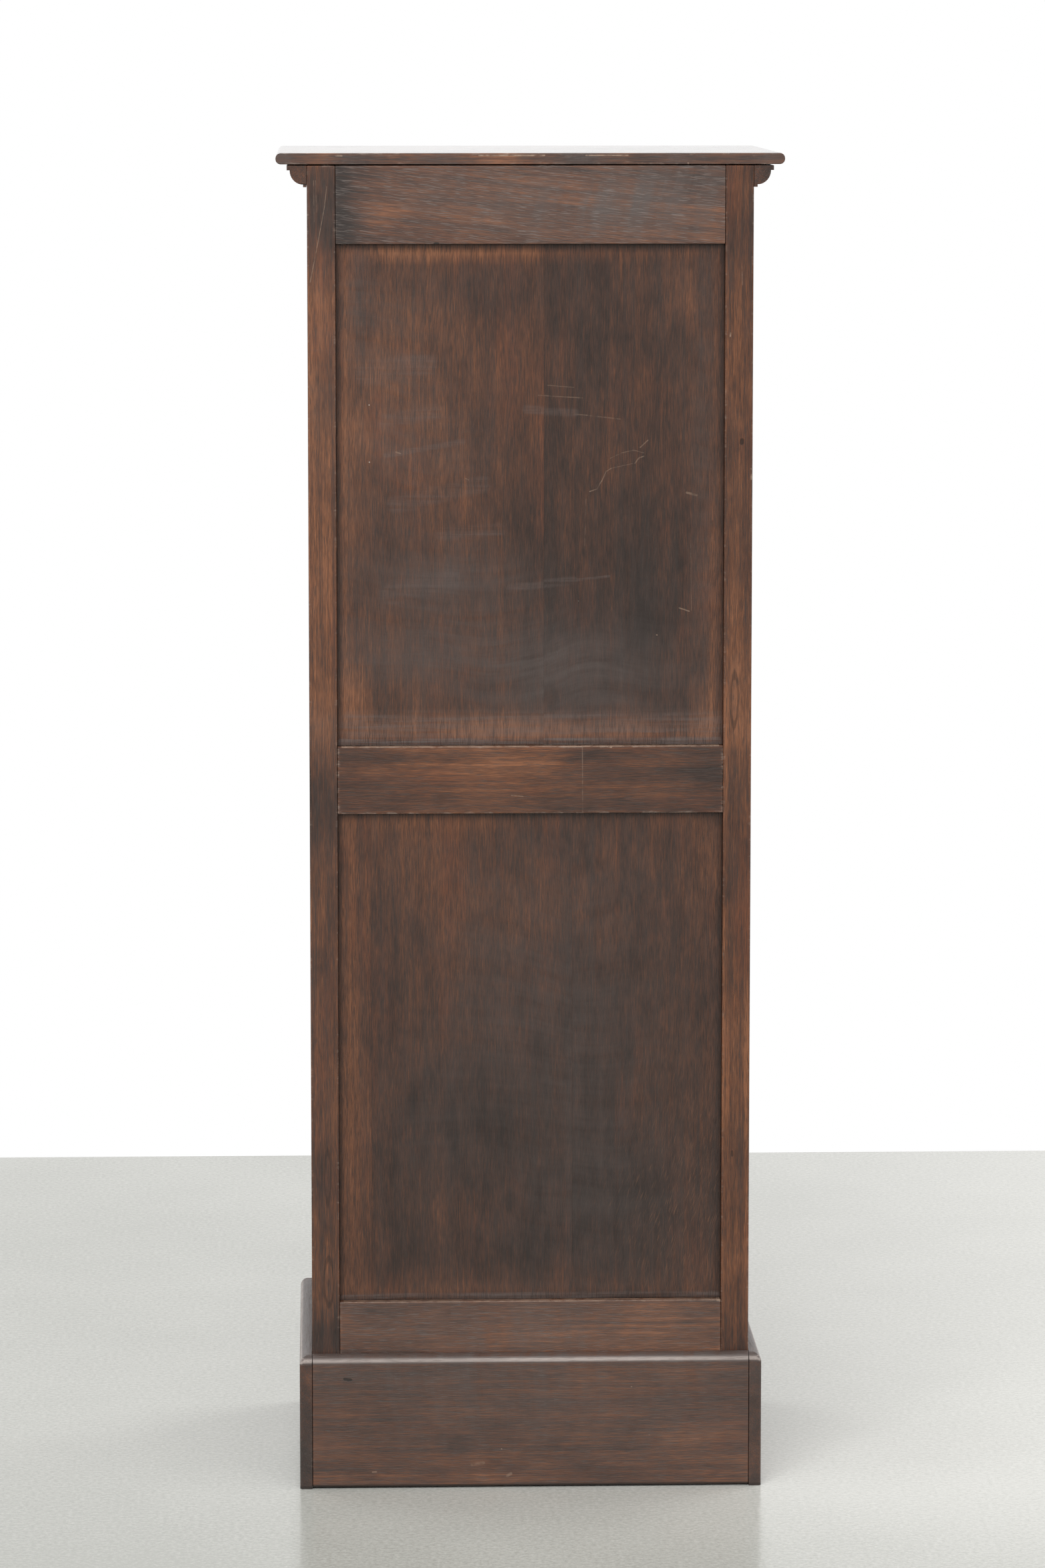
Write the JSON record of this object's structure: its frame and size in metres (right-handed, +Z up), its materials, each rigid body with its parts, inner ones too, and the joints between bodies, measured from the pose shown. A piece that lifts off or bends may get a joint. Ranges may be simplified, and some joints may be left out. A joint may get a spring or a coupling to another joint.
{
  "type": "tambour cabinet",
  "caption": "Tall narrow dark oak cabinet on a plinth, panelled back and sides, slatted roll shutter over a shelved space, drawers below and a moulded top.",
  "frame": {"origin": "on the floor, in the middle of the outline of the whole cabinet", "axes": "+Z up, -Y to the front with the shutter and the drawers, +Y to the panelled back, +X to the right as seen from the front"},
  "size_m": [0.524, 0.4154, 1.4],
  "materials": {
    "dark_oak": "dark stained and waxed oak, worn and patchy",
    "inner_oak": "oiled oak, kept from the light",
    "drawer_wood": "bare planed wood",
    "aged_brass": "dull aged brass",
    "lock_steel": "darkened steel"
  },
  "bodies": {
    "carcass": {"top_board": "dark_oak", "cornice_front": "dark_oak", "cornice_left": "dark_oak", "cornice_right": "dark_oak", "post_front_left": "dark_oak", "post_front_right": "dark_oak", "post_back_left": "dark_oak", "post_back_right": "dark_oak", "back_top_rail": "dark_oak", "back_middle_rail": "dark_oak", "back_bottom_rail": "dark_oak", "back_upper_panel": "dark_oak", "back_lower_panel": "dark_oak", "left_top_rail": "dark_oak", "left_middle_rail": "dark_oak", "left_bottom_rail": "dark_oak", "left_upper_panel": "dark_oak", "left_lower_panel": "dark_oak", "right_top_rail": "dark_oak", "right_middle_rail": "dark_oak", "right_bottom_rail": "dark_oak", "right_upper_panel": "dark_oak", "right_lower_panel": "dark_oak", "front_lintel": "dark_oak", "front_middle_rail": "dark_oak", "front_bottom_rail": "dark_oak", "plinth_front": "dark_oak", "plinth_back": "dark_oak", "plinth_left": "dark_oak", "plinth_right": "dark_oak", "cheek_left": "inner_oak", "cheek_right": "inner_oak", "bottom_board": "inner_oak", "middle_board": "inner_oak", "drawer_divider_1": "dark_oak", "drawer_divider_2": "dark_oak", "shelf": "inner_oak", "inner_ceiling": "inner_oak", "inner_back": "inner_oak", "tambour_curtain_top": "dark_oak"},
    "shutter": {"lead_rail": "dark_oak", "tambour_curtain": "dark_oak", "lock_plate": "aged_brass", "shutter_knob_left": "dark_oak", "shutter_knob_right": "dark_oak"},
    "tail": {"tail_slat": "dark_oak"},
    "bolt": {"lock_bolt": "lock_steel"},
    "key": {"key": "lock_steel"},
    "drawer_1": {"drawer_1_front": "dark_oak", "drawer_1_knob": "dark_oak", "drawer_1_box": "drawer_wood", "drawer_1_bottom": "drawer_wood"},
    "drawer_2": {"drawer_2_front": "dark_oak", "drawer_2_knob": "dark_oak", "drawer_2_box": "drawer_wood", "drawer_2_bottom": "drawer_wood"},
    "drawer_3": {"drawer_3_front": "dark_oak", "drawer_3_knob": "dark_oak", "drawer_3_box": "drawer_wood", "drawer_3_bottom": "drawer_wood"}
  },
  "joints": [
    {"name": "shutter_lift", "type": "slide", "parent": "carcass", "child": "shutter", "axis": [0, 0, 1], "range_m": [0, 0.49], "deforming": ["tambour_curtain"]},
    {"name": "tail_drop", "type": "slide", "parent": "carcass", "child": "tail", "axis": [0, 0, -1], "range_m": [0, 0.49]},
    {"name": "key_turn", "type": "hinge", "parent": "shutter", "child": "key", "pos_m": [0, -0.15065, 0.8045], "axis": [0, 1, 0], "range_deg": [0, 90]},
    {"name": "bolt_throw", "type": "slide", "parent": "shutter", "child": "bolt", "axis": [0, 0, -1], "range_m": [0, 0.008]},
    {"name": "drawer_1_slide", "type": "slide", "parent": "carcass", "child": "drawer_1", "axis": [0, -1, 0], "range_m": [0, 0.25]},
    {"name": "drawer_2_slide", "type": "slide", "parent": "carcass", "child": "drawer_2", "axis": [0, -1, 0], "range_m": [0, 0.25]},
    {"name": "drawer_3_slide", "type": "slide", "parent": "carcass", "child": "drawer_3", "axis": [0, -1, 0], "range_m": [0, 0.25]}
  ],
  "couplings": [
    {"joint": "tail_drop", "follows": "shutter_lift", "ratio": 1},
    {"joint": "key_turn", "follows": "bolt_throw", "rad_per_m": 196.35}
  ]
}
